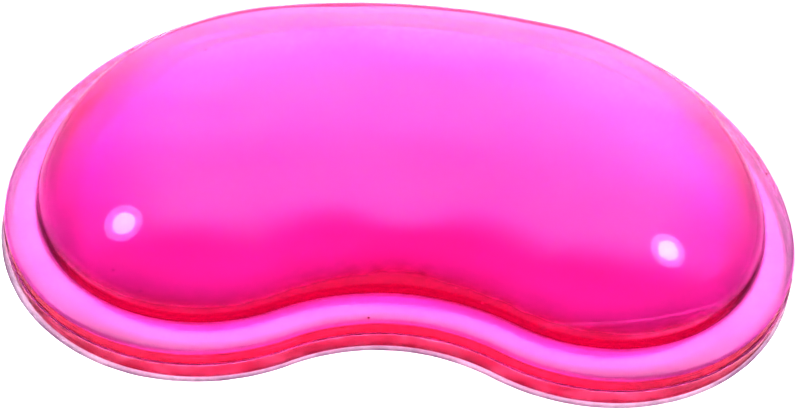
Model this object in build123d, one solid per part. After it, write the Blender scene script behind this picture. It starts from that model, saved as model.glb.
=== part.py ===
from build123d import *
import os
from math import atan2, cos, degrees, radians, sin, sqrt, tan

# Translucent gel wrist rest.  All lengths are millimetres, angles degrees.
# Frame: +X along the pad, -Y towards the forearm (the hollow side of the
# kidney), +Z up, origin on the desk under the middle of the pad.

# ---- plan outline of the rim, mirrored about the YZ plane -------------------
pad_length = 145.0          # across the two lobes
lobe_radius = 37.7          # front corner of each lobe
shoulder_radius = 54.0      # end of the pad, between lobe and back
back_radius = 128.0         # long back edge
notch_radius = 37.4         # hollow in the front edge
shoulder_start = -1.0       # direction in which the lobe arc hands over

# ---- heights above the desk -------------------------------------------------
film_thickness = 0.2        # release film under the tacky base
seam_height = 3.3           # where the base meets the backing film
backing_thickness = 0.15
brim_height = 6.4
dome_rise = 13.0            # crown above the brim

# ---- section of the moulded shell -------------------------------------------
brim_width = 5.9            # rim edge to dome foot
brim_edge_radius = 1.3
wall_draft = 3.0            # the rim widens towards the desk
dome_foot_radius = 8.0      # steep lower side of the dome
dome_run = 30.0             # plan distance over which the dome rises
skin_thickness = 0.3

# ---- cut edges that stand proud of the rim ----------------------------------
seam_flash = 0.25           # backing film beyond the wall
film_margin = 0.7           # release film beyond the wall
film_shift = (-0.3, -0.2)   # the pad never lands quite centred on its film

lobe_centre = pad_length / 2 - lobe_radius
crown_radius = ((dome_run - dome_foot_radius) ** 2 + dome_rise**2 - dome_foot_radius**2) / (
    2 * (dome_rise - dome_foot_radius)
)


def outline_arcs():
    """Centre, radius, first and last direction of the arcs of the right half
    and of the notch, with y = 0 on the line through the lobe centres."""
    start = radians(shoulder_start)
    step = shoulder_radius - lobe_radius
    shoulder = (lobe_centre - step * cos(start), -step * sin(start))
    back_y = shoulder[1] - sqrt((back_radius - shoulder_radius) ** 2 - shoulder[0] ** 2)
    notch_y = -sqrt((notch_radius + lobe_radius) ** 2 - lobe_centre**2)
    to_back = degrees(atan2(shoulder[1] - back_y, shoulder[0]))
    to_notch = degrees(atan2(notch_y, -lobe_centre))
    half = [
        ((lobe_centre, 0.0), lobe_radius, to_notch, shoulder_start),
        (shoulder, shoulder_radius, shoulder_start, to_back),
        ((0.0, back_y), back_radius, to_back, 90.0),
    ]
    notch = ((0.0, notch_y), notch_radius, 180.0 + to_notch, -to_notch)
    return half, notch


half_arcs, notch_arc = outline_arcs()
back_edge = half_arcs[2][0][1] + back_radius
mid_depth = (back_edge - lobe_radius) / 2   # the origin sits mid-depth


def arc(centre, radius, first, last):
    return CenterArc((centre[0], centre[1] - mid_depth), radius, first, last - first)


def outline(offset):
    """The closed plan outline, grown outwards by offset."""
    edges = []
    for centre, radius, first, last in half_arcs:
        edges.append(arc(centre, radius + offset, first, last))
    for centre, radius, first, last in reversed(half_arcs):
        edges.append(arc((-centre[0], centre[1]), radius + offset, 180 - last, 180 - first))
    centre, radius, first, last = notch_arc
    edges.append(arc(centre, radius - offset, first, last))
    return Wire(edges)


def sheet(offset, low, thickness):
    """A flat sheet cut to the plan outline."""
    return Pos(0, 0, low) * extrude(make_face(outline(offset)), thickness)


def rim(inset, low, high):
    """The drafted slab of the rim between two heights."""
    spread = (brim_height - high) * tan(radians(wall_draft))
    top = Pos(0, 0, high) * make_face(outline(spread - inset))
    return extrude(top, high - low, dir=(0, 0, -1), taper=-wall_draft)


def dome(inset):
    """The dome, from the base of the pad to the crown.  Its section is two
    tangent arcs carried round the outline; a flat closes the crown."""
    foot = dome_foot_radius - inset
    # unit vector through both arc centres, towards the point where they meet
    reach = crown_radius - dome_foot_radius
    away = ((dome_foot_radius - dome_run) / reach, (crown_radius - dome_rise) / reach)
    meet = (foot + foot * away[0], brim_height + foot * away[1])
    run = dome_run - inset
    crown = brim_height + dome_rise - inset
    overlap = 0.8           # carries the section under the crown's flat
    section = make_face(
        [
            Line((0, 0), (0, brim_height)),
            RadiusArc((0, brim_height), meet, foot),
            RadiusArc(meet, (run, crown), crown_radius - inset),
            Line((run, crown), (run + overlap, crown)),
            Line((run + overlap, crown), (run + overlap, 0)),
            Line((run + overlap, 0), (0, 0)),
        ]
    )
    path = outline(-brim_width - inset)
    along = path % 0
    inwards = Vector(0, 0, 1).cross(along)
    across = Plane(origin=path @ 0, x_dir=inwards, z_dir=inwards.cross(Vector(0, 0, 1)))
    side = sweep(across * section, path=path)
    middle = extrude(make_face(outline(-brim_width - inset - run)), crown)
    return side + middle


def filling(inset):
    """Everything inside the moulded surface, or inside the skin's inner face."""
    slab = rim(inset, 0, brim_height - inset)
    edge = slab.faces().sort_by(Axis.Z)[-1].edges()
    return fillet(edge, brim_edge_radius - inset) + dome(inset)


def above(low):
    """A block that keeps what is above a height."""
    size = 2 * pad_length
    block = Box(size, size, size, align=(Align.CENTER, Align.CENTER, Align.MIN))
    return Pos(0, 0, low) * block


def top_skin():
    """Clear moulded film over the dome, the brim and the upper half of the rim."""
    return (filling(0) - filling(skin_thickness)) & above(seam_height + backing_thickness)


def gel_core():
    """The soft tinted gel that fills the skin."""
    return filling(skin_thickness) & above(seam_height + backing_thickness)


def backing_film():
    """Film that closes the skin; its cut edge shows as a ragged line."""
    spread = (brim_height - seam_height) * tan(radians(wall_draft))
    return sheet(spread + seam_flash, seam_height, backing_thickness)


def base_gel():
    """Tacky non-slip base, the lower half of the rim."""
    return rim(0, film_thickness, seam_height)


def release_film():
    """Stiff clear film that covers the tacky face until it is peeled off."""
    spread = (brim_height - film_thickness) * tan(radians(wall_draft))
    return Pos(*film_shift, 0) * sheet(spread + film_margin, 0, film_thickness)


os.makedirs("parts", exist_ok=True)
for piece in (top_skin, gel_core, backing_film, base_gel, release_film):
    export_step(piece(), f"parts/{piece.__name__}.step")
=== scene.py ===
"""Translucent gel wrist rest: a glossy kidney-shaped dome on a flat brim."""

from math import atan2, cos, exp, pi, radians, sin, sqrt, tan

import bmesh
import bpy
import numpy as np
from mathutils import Matrix, Vector


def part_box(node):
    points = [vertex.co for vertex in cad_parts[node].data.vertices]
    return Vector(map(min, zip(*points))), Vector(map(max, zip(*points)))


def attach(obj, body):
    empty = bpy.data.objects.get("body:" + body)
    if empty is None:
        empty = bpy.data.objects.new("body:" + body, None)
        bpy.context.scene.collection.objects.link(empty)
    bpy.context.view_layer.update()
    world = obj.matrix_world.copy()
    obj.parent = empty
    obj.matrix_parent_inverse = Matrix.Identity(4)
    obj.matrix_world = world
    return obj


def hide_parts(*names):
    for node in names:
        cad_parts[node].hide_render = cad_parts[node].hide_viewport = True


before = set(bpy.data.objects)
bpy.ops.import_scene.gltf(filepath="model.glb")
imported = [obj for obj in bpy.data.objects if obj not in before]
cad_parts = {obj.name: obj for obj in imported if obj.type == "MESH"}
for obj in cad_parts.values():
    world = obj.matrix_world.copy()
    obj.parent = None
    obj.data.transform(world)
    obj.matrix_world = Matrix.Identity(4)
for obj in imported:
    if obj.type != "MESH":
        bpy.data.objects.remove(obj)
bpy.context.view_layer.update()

MM = 0.001

# ---- plan outline of the rim, in millimetres, mirrored about the YZ plane ----
PAD_LENGTH = 145.0
LOBE_RADIUS = 37.7
SHOULDER_RADIUS = 54.0
BACK_RADIUS = 128.0
NOTCH_RADIUS = 37.4
SHOULDER_START = radians(-1.0)

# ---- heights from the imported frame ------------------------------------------
LINER_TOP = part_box("release_film")[1][2] / MM
SEAM_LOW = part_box("backing_film")[0][2] / MM
SEAM_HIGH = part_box("backing_film")[1][2] / MM
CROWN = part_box("top_skin")[1][2] / MM

# ---- section ----------------------------------------------------------------
BRIM_HEIGHT = 6.4
BRIM_WIDTH = 5.9
EDGE_RADIUS = 1.3
DRAFT = tan(radians(3.0))
FOOT_RADIUS = 8.0
DOME_RUN = 33.0              # from the dome's foot to where its arc levels off
DOME_RISE = CROWN - BRIM_HEIGHT
CAP_OFFSET = -BRIM_WIDTH - 29.9   # a grid closes the crown from here inwards
SKIN = 0.3
CLEARANCE = 0.02             # keeps the faces of two pieces that touch apart
SEAM_FLASH = 0.25
LINER_MARGIN = 0.7
LINER_SHIFT = (-0.3, -0.2)

AROUND = 960                 # points round each ring
LEVEL = 0.8                  # a face whose normal's z is more than this is level
WALL_TOP = BRIM_HEIGHT - 0.8      # the coated wall (painted light and shade, some dust) ends here, on the rounded edge

# ---- how the moulding departs from its plain section ------------------------
GATHER_HEIGHT = 0.07
SWELL_HEIGHT = 0.8
FULLER_BACK = 0.7
STEP_DEPTH = 0.11            # the low step round the upper wall
STEP_HEIGHT = 4.75
STEP_BLEND = 0.06


def outline_samples(count):
    """Points on the rim's outline and their outward normals: the front half
    from the right tip to the left, then the back half to the right tip."""
    lobe_x = PAD_LENGTH / 2 - LOBE_RADIUS
    step = SHOULDER_RADIUS - LOBE_RADIUS
    shoulder = (lobe_x - step * cos(SHOULDER_START), -step * sin(SHOULDER_START))
    back_y = shoulder[1] - sqrt((BACK_RADIUS - SHOULDER_RADIUS) ** 2 - shoulder[0] ** 2)
    notch_y = -sqrt((NOTCH_RADIUS + LOBE_RADIUS) ** 2 - lobe_x**2)
    to_back = atan2(shoulder[1] - back_y, shoulder[0])
    to_notch = atan2(notch_y, -lobe_x)
    mid_depth = (back_y + BACK_RADIUS - LOBE_RADIUS) / 2
    front = [
        ((lobe_x, 0), LOBE_RADIUS, SHOULDER_START, to_notch, 1),
        ((0, notch_y), NOTCH_RADIUS, to_notch + pi, -to_notch, -1),
        ((-lobe_x, 0), LOBE_RADIUS, -pi - to_notch, -pi - SHOULDER_START, 1),
    ]
    far_left = (-shoulder[0], shoulder[1])
    back = [
        (far_left, SHOULDER_RADIUS, pi - SHOULDER_START, pi - to_back, 1),
        ((0, back_y), BACK_RADIUS, pi - to_back, to_back, 1),
        (shoulder, SHOULDER_RADIUS, to_back, SHOULDER_START, 1),
    ]
    points, normals = [], []
    for half in (front, back):
        lengths = [abs(last - first) * radius for _, radius, first, last, _ in half]
        ends = np.cumsum([0.0] + lengths)
        for along in np.linspace(0, ends[-1], count // 2, endpoint=False):
            k = min(int(np.searchsorted(ends, along, side="right")) - 1, 2)
            centre, radius, first, last, sense = half[k]
            angle = first + (last - first) * (along - ends[k]) / lengths[k]
            way = np.array([cos(angle), sin(angle)])
            points.append(np.array(centre) + radius * way - [0, mid_depth])
            normals.append(sense * way)
    return np.array(points), np.array(normals)


POINTS, NORMALS = outline_samples(AROUND)
TURN = np.linspace(0, 1, AROUND, endpoint=False)


def wander(seed, slowest, fastest):
    """A ragged line round the outline, between -1 and 1."""
    draw = np.random.default_rng(seed)
    total = np.zeros(AROUND)
    for wave in range(slowest, fastest):
        size = draw.normal() / sqrt(wave)
        total += size * np.cos(2 * pi * (wave * TURN + draw.uniform()))
    return total / np.abs(total).max()


def stretch(first, last, blend=0.02):
    """1 between two turns of the outline, easing to 0 outside them."""
    rise = np.clip((TURN - first) / blend + 1, 0, 1)
    fall = np.clip((last - TURN) / blend + 1, 0, 1)
    both = rise * fall
    return both * both * (3 - 2 * both)


# the gathers that moulding leaves across the back corners of the brim
GATHERS = stretch(0.54, 0.62) * wander(3, 150, 260)
GATHERS += 0.6 * stretch(0.89, 0.95) * wander(4, 120, 230)


def ring(offset, z):
    """The outline grown by offset at height z; either may vary round it."""
    out = np.empty((AROUND, 3))
    out[:, :2] = POINTS + NORMALS * np.reshape(offset, (-1, 1))
    out[:, 2] = z
    return out


def settle(rows):
    """The real moulding against its plain section: a fuller back, a low
    swelling above the notch, gathers in the brim and a faint undulation."""
    for row, offset in rows:
        if -BRIM_WIDTH < offset < -EDGE_RADIUS:
            across = (offset + EDGE_RADIUS) / (EDGE_RADIUS - BRIM_WIDTH)
            row[:, 2] += GATHER_HEIGHT * sin(pi * across) * GATHERS
        x, y, z = row[:, 0], row[:, 1], row[:, 2]
        high = np.clip((z - BRIM_HEIGHT - 0.6) / 5, 0, 1)
        swell = SWELL_HEIGHT * np.exp(-((x / 9) ** 2) - ((y + 28) / 8.5) ** 2)
        roll = 0.035 * np.sin(x / 6.1 + 1) * np.cos(y / 7.3 + x / 31)
        ripple = 0.02 * np.sin(x / 3.3 - y / 4.1)
        row[:, 2] += high * (swell + (roll + ripple))
        if offset < -BRIM_WIDTH:
            run = -BRIM_WIDTH - offset
            behind = np.clip((y + 4) / 22, 0, 1)
            fuller = FULLER_BACK * (1 - exp(-run / 1.2)) * exp(-((run / 14) ** 2))
            row[:, 2] += fuller * behind * behind * (3 - 2 * behind)
    return [row for row, _ in rows]


def tube_faces(count):
    """The faces between each ring of a stack and the next."""
    faces = []
    for a in range(0, (count - 1) * AROUND, AROUND):
        b = a + AROUND
        for i in range(AROUND):
            j = (i + 1) % AROUND
            faces.append((a + j, a + i, b + i, b + j))
    return faces


def cap(edge, base, start, columns=4):
    """A grid from front to back across a ring whose first point is number
    base: its own points, numbered from start, and its faces."""
    points, grid, faces = [], [], []
    for i in range(1, AROUND // 2):
        front, back = edge[i], edge[AROUND - i]
        t = np.linspace(0, 1, columns + 2)[1:-1, None]
        points.append(front + (back - front) * t)
        inner = list(range(start, start + columns))
        start += columns
        grid.append([base + i] + inner + [base + AROUND - i])
    for row, following in zip(grid, grid[1:]):
        for j in range(columns + 1):
            faces.append((row[j], row[j + 1], following[j + 1], following[j]))
    for tip, row in ((base, grid[0]), (base + AROUND // 2, grid[-1])):
        for j in range(columns + 1):
            faces.append((tip, row[j + 1], row[j]))
    return np.vstack(points), faces


def add_bubbles(shape, bubbles):
    """Small hollow spheres inside the mesh."""
    for place, radius in bubbles:
        at = Matrix.Translation(Vector(place) * MM)
        made = bmesh.ops.create_icosphere(shape, subdivisions=2, radius=radius * MM, matrix=at)
        around = {face for vert in made["verts"] for face in vert.link_faces}
        bmesh.ops.reverse_faces(shape, faces=list(around))


def mark_faces(shape, low, high):
    """Mark the flat faces between two heights, where the mesh meets another
    gel, its walls, and its satin underside and brim."""
    for name in ("joined", "wall", "satin"):
        shape.faces.layers.float.new(name)
    layers = shape.faces.layers.float
    for face in shape.faces:
        z = face.calc_center_median().z / MM
        level = abs(face.normal.z) > LEVEL
        on_brim = BRIM_HEIGHT - 2 * SKIN < z < BRIM_HEIGHT
        face[layers["joined"]] = float(level and low < z < high)
        face[layers["wall"]] = float(not level and z < WALL_TOP)
        face[layers["satin"]] = float(level and (z < low or on_brim))


def lofted(name, rings, joined=None, edge_rows=(), bubbles=()):
    """A closed mesh through the rings, capped across the kidney.  joined
    gives the heights between which flat faces meet another gel; edge_rows
    are the rings that lie on a cut edge."""
    last = len(rings) - 1
    lower, lower_faces = cap(rings[0], 0, len(rings) * AROUND)
    upper, upper_faces = cap(rings[last], last * AROUND, len(rings) * AROUND + len(lower))
    verts = np.vstack(rings + [lower, upper])
    faces = tube_faces(len(rings)) + lower_faces + upper_faces
    mesh = bpy.data.meshes.new(name)
    mesh.from_pydata((verts * MM).tolist(), [], faces)
    shape = bmesh.new()
    shape.from_mesh(mesh)
    bmesh.ops.recalc_face_normals(shape, faces=shape.faces)
    add_bubbles(shape, bubbles)
    if joined:
        mark_faces(shape, *joined)
    shape.to_mesh(mesh)
    shape.free()
    if edge_rows:
        frayed = np.zeros(len(mesh.vertices), dtype=np.float32)
        for k in edge_rows:
            frayed[k * AROUND:(k + 1) * AROUND] = 1.0
        mesh.attributes.new("cut_edge", "FLOAT", "POINT").data.foreach_set("value", frayed)
    mesh.polygons.foreach_set("use_smooth", [True] * len(mesh.polygons))
    mesh.set_sharp_from_angle(angle=radians(40))
    mesh.update()
    made = bpy.data.objects.new(name, mesh)
    bpy.context.scene.collection.objects.link(made)
    return made


def dome_section(inset, steps=34):
    """(offset, z) up the dome from its foot: a steep arc, then the crown's."""
    crown_radius = ((DOME_RUN - FOOT_RADIUS) ** 2 + DOME_RISE**2 - FOOT_RADIUS**2) / (
        2 * (DOME_RISE - FOOT_RADIUS)
    )
    reach = crown_radius - FOOT_RADIUS
    meet = atan2((crown_radius - DOME_RISE) / reach, (DOME_RUN - FOOT_RADIUS) / reach)
    section = []
    for angle in np.linspace(0, meet, steps):
        radius = FOOT_RADIUS - inset
        run = FOOT_RADIUS - radius * cos(angle)
        section.append((-BRIM_WIDTH - run, BRIM_HEIGHT + radius * sin(angle)))
    for offset in np.linspace(section[-1][0], CAP_OFFSET, steps)[1:]:
        run = min(-BRIM_WIDTH - offset, DOME_RUN)
        radius = crown_radius - inset
        z = CROWN - crown_radius + sqrt(radius**2 - (DOME_RUN - run) ** 2)
        section.append((offset, z))
    return section


def bead(z):
    """The low step that the mould leaves round the upper wall."""
    return STEP_DEPTH / (1 + np.exp(-(STEP_HEIGHT - z) / STEP_BLEND)) - STEP_DEPTH


def wall_rows(inset, low, count=15):
    """Rings up the wall; low may vary round it."""
    rows = []
    top = BRIM_HEIGHT - EDGE_RADIUS
    for share in np.linspace(0, 1, count):
        z = low + (top - low) * share
        rows.append((ring((BRIM_HEIGHT - z) * DRAFT + bead(z) - inset, z), 0.0))
    return rows


def upper_rows(inset, low):
    """Rings from the wall's lower edge over the brim to the crown."""
    rows = wall_rows(inset, low)
    edge = EDGE_RADIUS - inset
    side = EDGE_RADIUS * DRAFT
    start = bead(BRIM_HEIGHT - EDGE_RADIUS)
    for angle in np.linspace(0, pi / 2, 11)[1:]:
        offset = side + start * (1 - sin(angle)) - EDGE_RADIUS + edge * cos(angle)
        rows.append((ring(offset, BRIM_HEIGHT - EDGE_RADIUS + edge * sin(angle)), 0.0))
    for offset in np.linspace(side - EDGE_RADIUS, -BRIM_WIDTH + 0.4, 9)[1:]:
        rows.append((ring(offset, BRIM_HEIGHT - inset), offset))
    for offset in (-BRIM_WIDTH + 0.2, -BRIM_WIDTH + 0.08):
        rows.append((ring(offset, BRIM_HEIGHT - inset), offset))
    for offset, z in dome_section(inset):
        rows.append((ring(offset, z), offset))
    return rows


def flat_rings(first, last, z, count=8):
    """Rings at one height, from one offset to another."""
    return [ring(first + (last - first) * t, z) for t in np.linspace(0, 1, count)]


# ---- materials --------------------------------------------------------------
class Nodes:
    """A node tree, with short ways to add to it."""

    def __init__(self, tree):
        self.tree = tree

    def add(self, kind, **inputs):
        node = self.tree.nodes.new("ShaderNode" + kind)
        for key, value in inputs.items():
            self.put(node, key.replace("_", " "), value)
        return node

    def put(self, node, key, value):
        socket = node.inputs[key]
        if isinstance(value, bpy.types.NodeSocket):
            self.tree.links.new(value, socket)
        else:
            socket.default_value = value

    def math(self, operation, *values):
        node = self.add("Math")
        node.operation = operation
        for k, value in enumerate(values):
            self.put(node, k, value)
        return node.outputs[0]

    def ease(self, value, first, last, low=0.0, high=1.0):
        node = self.add("MapRange", Value=value)
        node.interpolation_type = "SMOOTHSTEP"
        for k, limit in enumerate((first, last, low, high)):
            node.inputs[k + 1].default_value = limit
        return node.outputs[0]

    def place(self):
        split = self.add("SeparateXYZ")
        self.put(split, 0, self.add("TexCoord").outputs["Object"])
        return split.outputs

    def attribute(self, name):
        node = self.add("Attribute")
        node.attribute_name = name
        return node.outputs["Fac"]

    def noise(self, scale, detail=3.0, squeeze=(1, 1, 1)):
        mapping = self.add("Mapping")
        mapping.inputs["Scale"].default_value = squeeze
        self.put(mapping, "Vector", self.add("TexCoord").outputs["Object"])
        grain = self.add("TexNoise", Vector=mapping.outputs[0], Scale=scale, Detail=detail)
        return grain.outputs["Fac"]

    def bumped(self, height, distance):
        return self.add("Bump", Height=height, Distance=distance, Strength=1.0).outputs[0]

    def tint(self, factor, first, last):
        node = self.add("Mix")
        node.data_type = "RGBA"
        self.put(node, 0, factor)
        node.inputs[6].default_value = (*first, 1)
        node.inputs[7].default_value = (*last, 1)
        return node.outputs[2]

    def blend(self, factor, first, second):
        node = self.add("MixShader")
        for k, value in enumerate((factor, first, second)):
            self.put(node, k, value)
        return node.outputs[0]


class Material(Nodes):
    """A new material, to be built up from an empty node tree."""

    def __init__(self, name):
        self.material = bpy.data.materials.new(name)
        self.material.use_nodes = True
        super().__init__(self.material.node_tree)
        self.tree.nodes.clear()
        self.out = self.add("OutputMaterial")


# a path through the gel passes exp(-(1 - PASSED) * DENSITY * metres) of the light
GEL_IOR = 1.41
PASSED = (0.948, 0.0, 0.797)
DENSITY = 106.0
GLOSSY, SATIN = 0.015, 0.215     # roughness of the dome, and of the satin faces


def gel_material(name, ripple, painted_light_and_dust):
    """Tinted clear gel; its wall has a coat in patches, painted light and shade
    and on the base partly dust.  Where two gels touch the surface bends nothing."""
    mat = Material(name)
    bend = mat.math("MULTIPLY_ADD", mat.attribute("joined"), 1.0 - GEL_IOR, GEL_IOR)
    grain = mat.noise(60.0, 1.0, (1, 2.2, 1))
    shade = mat.tint(grain, (1.0, 1.0, 1.0), (0.995, 0.975, 0.985))
    rough = mat.math("MULTIPLY_ADD", mat.attribute("satin"), SATIN - GLOSSY, GLOSSY)
    surface = mat.add("BsdfPrincipled", IOR=bend, Roughness=rough, Base_Color=shade)
    surface.inputs["Transmission Weight"].default_value = 1.0
    if ripple:
        mat.put(surface, "Normal", mat.bumped(mat.noise(160.0, 1.0), ripple * MM))
    volume = mat.add("VolumeAbsorption", Density=DENSITY)
    volume.inputs["Color"].default_value = (*PASSED, 1)
    # the wall's coat in patches: painted light and shade, and on the base partly dust
    colour, thinnest, thickest = painted_light_and_dust
    cover = mat.ease(mat.noise(240.0, 3.0), 0.35, 0.7, thinnest, thickest)
    coat = mat.add("BsdfDiffuse", Color=(*colour, 1))
    share = mat.math("MULTIPLY", mat.attribute("wall"), cover)
    mat.put(mat.out, "Surface", mat.blend(share, surface.outputs[0], coat.outputs[0]))
    mat.put(mat.out, "Volume", volume.outputs[0])
    return mat.material


def film(mat, clear_tint, gloss, roughness):
    """A clear film that bends nothing: it passes light and adds a gloss."""
    clear = mat.add("BsdfTransparent", Color=clear_tint)
    shine = mat.add("BsdfGlossy", Roughness=roughness)
    facing = mat.add("LayerWeight", Blend=0.5).outputs["Facing"]
    steep = mat.math("POWER", facing, 5.0)
    share = mat.math("MULTIPLY_ADD", steep, 0.96 * gloss, 0.04 * gloss)
    return mat.blend(share, clear.outputs[0], shine.outputs[0])


def skin_material():
    """The moulded film, with painted highlights along its fold lines and creases, and specks of
    dust.
    """
    mat = Material("skin_film")
    x, y, z = mat.place()
    cloud = mat.ease(mat.noise(45.0, 2.0, (1, 2.5, 1)), 0.35, 0.75)
    clear = mat.tint(cloud, (1.0, 1.0, 1.0), (0.99, 0.97, 0.985))
    shell = film(mat, clear, 0.2, 0.05)

    def arc_line(share, centre, radius, width, first, last):
        """A fine line along a circle in plan, from one x to another."""
        dx = mat.math("SUBTRACT", x, centre[0] * MM)
        dy = mat.math("SUBTRACT", y, centre[1] * MM)
        squares = (mat.math("MULTIPLY", side, side) for side in (dx, dy))
        far = mat.math("SQRT", mat.math("ADD", *squares))
        off = mat.math("ABSOLUTE", mat.math("SUBTRACT", far, radius * MM))
        line = mat.ease(off, 0.3 * width * MM, width * MM, 1.0, 0.0)
        begin = mat.ease(x, (first - 1.5) * MM, (first + 1.5) * MM)
        finish = mat.ease(x, (last - 1.5) * MM, (last + 1.5) * MM, 1.0, 0.0)
        front = mat.ease(y, -25.0 * MM, -24.0 * MM, 1.0, 0.0)
        across = mat.math("MULTIPLY", line, front)
        between = mat.math("MULTIPLY", begin, finish)
        return mat.math("MULTIPLY", mat.math("MULTIPLY", across, between), share)

    # two creases at the front right and a fold beside the dome's left foot, painted as pale
    # lines: painted highlights where the folds catch the light
    lines = [
        arc_line(0.05, (31.0, 5.6), 45.05, 0.13, 24.0, 54.0),
        arc_line(0.06, (34.8, -9.5), 31.0, 0.14, 38.0, 52.0),
        arc_line(0.05, (-34.8, -9.5), 31.05, 0.12, -60.0, -44.0),
    ]
    marks = lines[0]
    for line in lines[1:]:
        marks = mat.math("MAXIMUM", marks, line)
    # painted highlight: a pale pink diffuse along the creases and the fold
    painted_crease_highlight = mat.add("BsdfDiffuse", Color=(1.0, 0.55, 0.85, 1))
    shell = mat.blend(marks, shell, painted_crease_highlight.outputs[0])
    # dust: a dark speck at the heart of a few cells
    cells = mat.add("TexVoronoi", Scale=230.0, Vector=mat.add("TexCoord").outputs["Object"])
    lot = mat.add("SeparateXYZ", Vector=cells.outputs["Color"]).outputs[0]
    rare = mat.math("GREATER_THAN", lot, 0.93)
    tiny = mat.math("LESS_THAN", cells.outputs["Distance"], 0.045)
    dark = mat.add("BsdfDiffuse", Color=(0.2, 0.01, 0.05, 1))
    shell = mat.blend(mat.math("MULTIPLY", rare, tiny), shell, dark.outputs[0])
    mat.put(mat.out, "Surface", shell)
    return mat.material


def sheet_material(name, gloss, roughness, margin_tint_and_painted_shade, edge_whitening_and_glint, edge_share):
    """Clear sheet with a margin tinted as painted shade, and a frayed cut
    edge coloured partly as whitening, partly as painted light where it catches it.
    """
    mat = Material(name)
    cut = mat.attribute("cut_edge")
    cloudy = mat.ease(mat.noise(90.0, 2.0), 0.3, 0.7, 0.7, 1.0)
    # the margin's tint: painted shade over the floor beside the pad
    clear = mat.tint(mat.math("MULTIPLY", cut, cloudy), (1.0, 1.0, 1.0), margin_tint_and_painted_shade)
    body = film(mat, clear, gloss, roughness)
    worn_and_glint = mat.ease(mat.noise(420.0, 4.0), 0.36, 0.62, 0.25, 1.0)
    share = mat.math("MULTIPLY", mat.math("MULTIPLY", cut, worn_and_glint), edge_share)
    # the cut edge's colour: whitening, and painted light where the edge catches it
    white = mat.add("BsdfDiffuse", Color=(*edge_whitening_and_glint, 1))
    mat.put(mat.out, "Surface", mat.blend(share, body, white.outputs[0]))
    return mat.material


# the filling's upper wall gets a crimson coat: painted shade on the wall's upper band
core_gel = gel_material("core_gel", ripple=0.0, painted_light_and_dust=((1.0, 0.12, 0.25), 0.1, 0.16))
# the base's lower wall gets a pale coat: partly dust, partly painted light on the wall's lower
# band
tacky_gel = gel_material("tacky_gel", ripple=0.1, painted_light_and_dust=((1.0, 0.5, 0.7), 0.05, 0.15))
skin_film = skin_material()
# the backing's pink cut edge: partly whitening, partly a painted highlight along the edge
backing = sheet_material(
    "backing_film",
    gloss=0.0,
    roughness=0.2,
    margin_tint_and_painted_shade=(0.99, 0.97, 0.98),
    edge_whitening_and_glint=(1.0, 0.45, 0.68),
    edge_share=0.35,
)
# the liner's grey-lavender margin is painted shade round the pad; its edge colour is painted
# light
liner = sheet_material(
    "release_film",
    gloss=0.25,
    roughness=0.1,
    margin_tint_and_painted_shade=(0.7, 0.64, 0.7),
    edge_whitening_and_glint=(0.7, 0.6, 0.68),
    edge_share=0.08,
)

# ---- pieces -----------------------------------------------------------------
# places of the bubbles near the front of the gel, and their radii
BUBBLES = [
    ((4.9, -31.4, 10.2), 0.16),
    ((7.1, -31.8, 9.9), 0.14),
    ((9.7, -32.5, 9.2), 0.17),
    ((14.3, -34.3, 8.0), 0.2),
    ((-10.0, -33.0, 8.0), 0.12),
    ((33.5, -31.0, 13.5), 0.14),
    ((-47.0, -33.5, 9.4), 0.12),
    ((-42.0, -36.5, 8.6), 0.1),
]

trim = SEAM_HIGH + 0.1 + 0.09 * wander(11, 5, 90)
core_rows = [(row, 0.0) for row in flat_rings(CAP_OFFSET, -SKIN - 0.15, SEAM_HIGH)]
core_rows += upper_rows(SKIN, SEAM_HIGH)
core = lofted(
    "gel_filling", settle(core_rows), joined=(SEAM_HIGH - 0.1, SEAM_HIGH + 0.1), bubbles=BUBBLES
)
core.data.materials.append(core_gel)
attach(core, "pad")
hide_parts("gel_core")

# the tacky base sags a little, so its wall is not quite straight
wall_at_liner = (BRIM_HEIGHT - LINER_TOP) * DRAFT
wall_at_seam = (BRIM_HEIGHT - SEAM_LOW) * DRAFT
base_rings = flat_rings(CAP_OFFSET, wall_at_liner - 0.1, LINER_TOP + CLEARANCE)
sag = 0.07 * wander(21, 2, 40)
for z in np.linspace(LINER_TOP + 0.05, SEAM_LOW, 8):
    share = (z - LINER_TOP) / (SEAM_LOW - LINER_TOP)
    belly = sag * sin(pi * share) + 0.05 * sin(2 * pi * share)
    base_rings.append(ring((BRIM_HEIGHT - z) * DRAFT - CLEARANCE + belly, z))
base_rings += flat_rings(wall_at_seam - 0.1, CAP_OFFSET, SEAM_LOW + CLEARANCE)
base = lofted("tacky_base", base_rings, joined=(SEAM_LOW - 0.1, SEAM_LOW + 0.1))
base.data.materials.append(tacky_gel)
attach(base, "pad")
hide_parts("base_gel")

outer = settle(upper_rows(0.0, trim))
inner = settle(upper_rows(SKIN - CLEARANCE, trim))
skin = lofted("moulded_skin", outer[::-1] + inner)
skin.data.materials.append(skin_film)
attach(skin, "pad")
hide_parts("top_skin")

# the backing film's edge was cut by hand: it wanders in and out and curls
reach = wall_at_seam + SEAM_FLASH * (0.55 + 0.45 * wander(31, 6, 170))
curl = 0.34 * wander(32, 6, 190)
low_half = flat_rings(CAP_OFFSET, wall_at_seam - 0.05, SEAM_LOW + 2 * CLEARANCE)
high_half = flat_rings(wall_at_seam - 0.05, CAP_OFFSET, SEAM_HIGH - 0.03)
lips = [ring(reach, z + curl) for z in (SEAM_LOW + CLEARANCE, SEAM_HIGH - 0.01)]
edge_rows = (len(low_half), len(low_half) + 1)
backing_sheet = lofted("backing_sheet", low_half + lips + high_half, edge_rows=edge_rows)
backing_sheet.data.materials.append(backing)
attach(backing_sheet, "pad")
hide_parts("backing_film")

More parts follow.
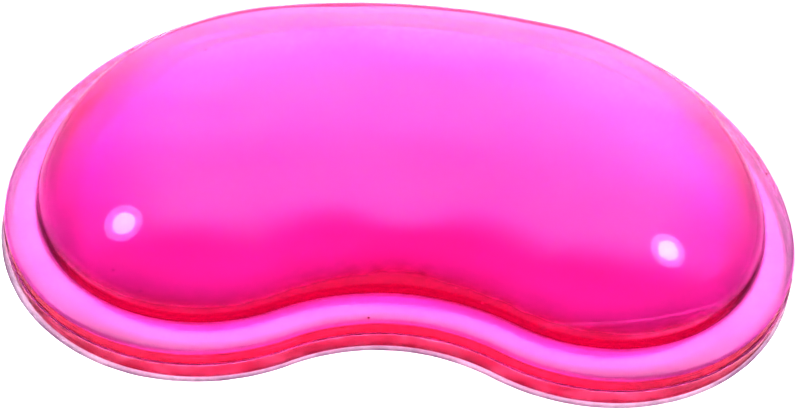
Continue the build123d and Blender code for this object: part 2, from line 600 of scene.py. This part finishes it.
# the release film lies a little off centre and lifts here and there
liner_edge = wall_at_liner + LINER_MARGIN
liner_face = LINER_TOP - CLEARANCE
under = flat_rings(CAP_OFFSET, liner_edge - 0.66, 0.0)
over_film = [ring(liner_edge - inwards, liner_face) for inwards in (0.6, 1.4)]
over_film += flat_rings(liner_edge - 2.4, CAP_OFFSET, liner_face)
lift = 0.06 * np.clip(wander(41, 3, 25), 0, 1)
cut = liner_edge - 0.05 + 0.05 * wander(42, 8, 90)
lips = [ring(cut, lift), ring(cut, liner_face + lift)]
edge_rows = range(len(under), len(under) + 4)
liner_sheet = lofted("release_liner", under + lips + over_film, edge_rows=edge_rows)
liner_sheet.data.transform(Matrix.Translation((LINER_SHIFT[0] * MM, LINER_SHIFT[1] * MM, 0)))
liner_sheet.data.materials.append(liner)
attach(liner_sheet, "release_film")
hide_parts("release_film")

# ---- floor ------------------------------------------------------------------
FLOOR_HALF = 0.7
FLOOR_DROP = 0.00005         # keeps the floor clear of the film that lies on it
corners = [(-1, -1), (1, -1), (1, 1), (-1, 1)]
mesh = bpy.data.meshes.new("floor")
mesh.from_pydata([(x * FLOOR_HALF, y * FLOOR_HALF, 0) for x, y in corners], [], [(0, 1, 2, 3)])
floor = bpy.data.objects.new("floor", mesh)
bpy.context.scene.collection.objects.link(floor)
paper = Material("floor_white")
tone = paper.tint(paper.noise(8.0), (0.95, 0.95, 0.95), (0.93, 0.93, 0.935))
paper.put(paper.out, "Surface", paper.add("BsdfDiffuse", Color=tone).outputs[0])
mesh.materials.append(paper.material)
floor.location.z = -FLOOR_DROP

# ---- what the gloss mirrors -------------------------------------------------
# A big softbox hangs over and behind the pad, its front edge just overhead,
# in a dimmer room.  The panels further down light the pad unmirrored.
world = bpy.data.worlds.new("studio")
bpy.context.scene.world = world
world.use_nodes = True
sky = Nodes(world.node_tree)
way = sky.add("SeparateXYZ", Vector=sky.add("TexCoord").outputs["Generated"]).outputs
over = sky.math("ARCTAN2", way["Z"], way["Y"])
aside = sky.math("ABSOLUTE", sky.math("SUBTRACT", way["X"], 0.07))
room = sky.ease(over, radians(80), radians(180), 2.2, 1.3)
rise = sky.ease(over, radians(-15), radians(45), 0.0, 5.1)
near = sky.ease(over, radians(75), radians(91), 1.0, 0.0)
width = sky.ease(aside, 0.25, 0.95, 1.0, 0.0)
box = sky.math("MULTIPLY", sky.math("MULTIPLY", rise, near), width)
background = sky.tree.nodes["Background"]
background.inputs["Color"].default_value = (1, 1, 1, 1)
sky.put(background, "Strength", sky.math("ADD", room, box))
world.cycles_visibility.diffuse = False
world.cycles_visibility.transmission = False


# ---- lamps ------------------------------------------------------------------
def aimed(turn, height, distance=1.0):
    """A place at a turn to the right of the back and a height, in metres."""
    turn, height = radians(turn), radians(height)
    return Vector((sin(turn) * cos(height), cos(turn) * cos(height), sin(height))) * distance


def lamp(name, shape, size, radiance, place, target=Vector((0, 0, 0)), mirrored=False):
    """A panel of even radiance; the gloss mirrors it only if mirrored."""
    data = bpy.data.lights.new(name, "AREA")
    data.shape = shape
    data.size = size[0]
    data.size_y = size[1]
    area = size[0] * size[1] * (pi / 4 if shape == "ELLIPSE" else 1)
    data.energy = radiance * pi * area
    light = bpy.data.objects.new(name, data)
    light.location = place
    light.rotation_euler = (place - target).to_track_quat("Z", "Y").to_euler()
    light.visible_glossy = mirrored
    bpy.context.scene.collection.objects.link(light)


lamp("front", "RECTANGLE", (1.3, 0.75), 6.6, aimed(180, 35))
lamp("front_left", "RECTANGLE", (1.05, 0.6), 5.2, aimed(-124, 16))
lamp("front_right", "RECTANGLE", (1.05, 0.6), 5.2, aimed(124, 16))
lamp("back", "RECTANGLE", (2.2, 1.3), 1.65, aimed(0, 36))
lamp("above", "RECTANGLE", (0.45, 0.22), 2.6, aimed(180, 82))
for name, spot, turn, height in (
    ("umbrella_left", Vector((-0.0467, -0.0282, 0.0156)), -72.6, 56.3),
    ("umbrella_right", Vector((0.0445, -0.0272, 0.0162)), 68.7, 58.3),
):
    for size, radiance in ((0.07, 9.0), (0.13, 5.0)):
        place = spot + aimed(turn, height, 0.5 + size)
        lamp(name, "ELLIPSE", (size, size), radiance, place, spot, mirrored=True)

# ---- camera: it looks down on the front edge, a little turned and tilted -----
CAMERA_TURN = radians(-0.75)
CAMERA_HEIGHT = radians(48.57)
CAMERA_ROLL = radians(4.24)
CAMERA_DISTANCE = 199.6
CAMERA_TARGET = Vector((-0.36, -6.7, 0.0))
back = Vector((sin(CAMERA_TURN), -cos(CAMERA_TURN), 0)) * cos(CAMERA_HEIGHT)
back.z = sin(CAMERA_HEIGHT)
right = Vector((cos(CAMERA_TURN), sin(CAMERA_TURN), 0))
up = back.cross(right)
tilted_right = cos(CAMERA_ROLL) * right + sin(CAMERA_ROLL) * up
tilted_up = cos(CAMERA_ROLL) * up - sin(CAMERA_ROLL) * right
camera_data = bpy.data.cameras.new("camera")
camera_data.lens = 47.07
camera_data.sensor_width = 36.0
camera_data.clip_start = 0.01
camera = bpy.data.objects.new("camera", camera_data)
turned = Matrix((tilted_right, tilted_up, back)).transposed().to_4x4()
camera.matrix_world = Matrix.Translation((CAMERA_TARGET + back * CAMERA_DISTANCE) * MM) @ turned
bpy.context.scene.collection.objects.link(camera)
bpy.context.scene.camera = camera

# a hard contrast curve, and enough bounces for light that is held in the gel
scene = bpy.context.scene
scene.view_settings.view_transform = "Standard"
scene.view_settings.gamma = 0.4545
scene.cycles.max_bounces = 20
scene.cycles.transmission_bounces = 20
scene.cycles.glossy_bounces = 16
scene.cycles.transparent_max_bounces = 32
scene.cycles.blur_glossy = 0.0
scene.cycles.use_denoising = True
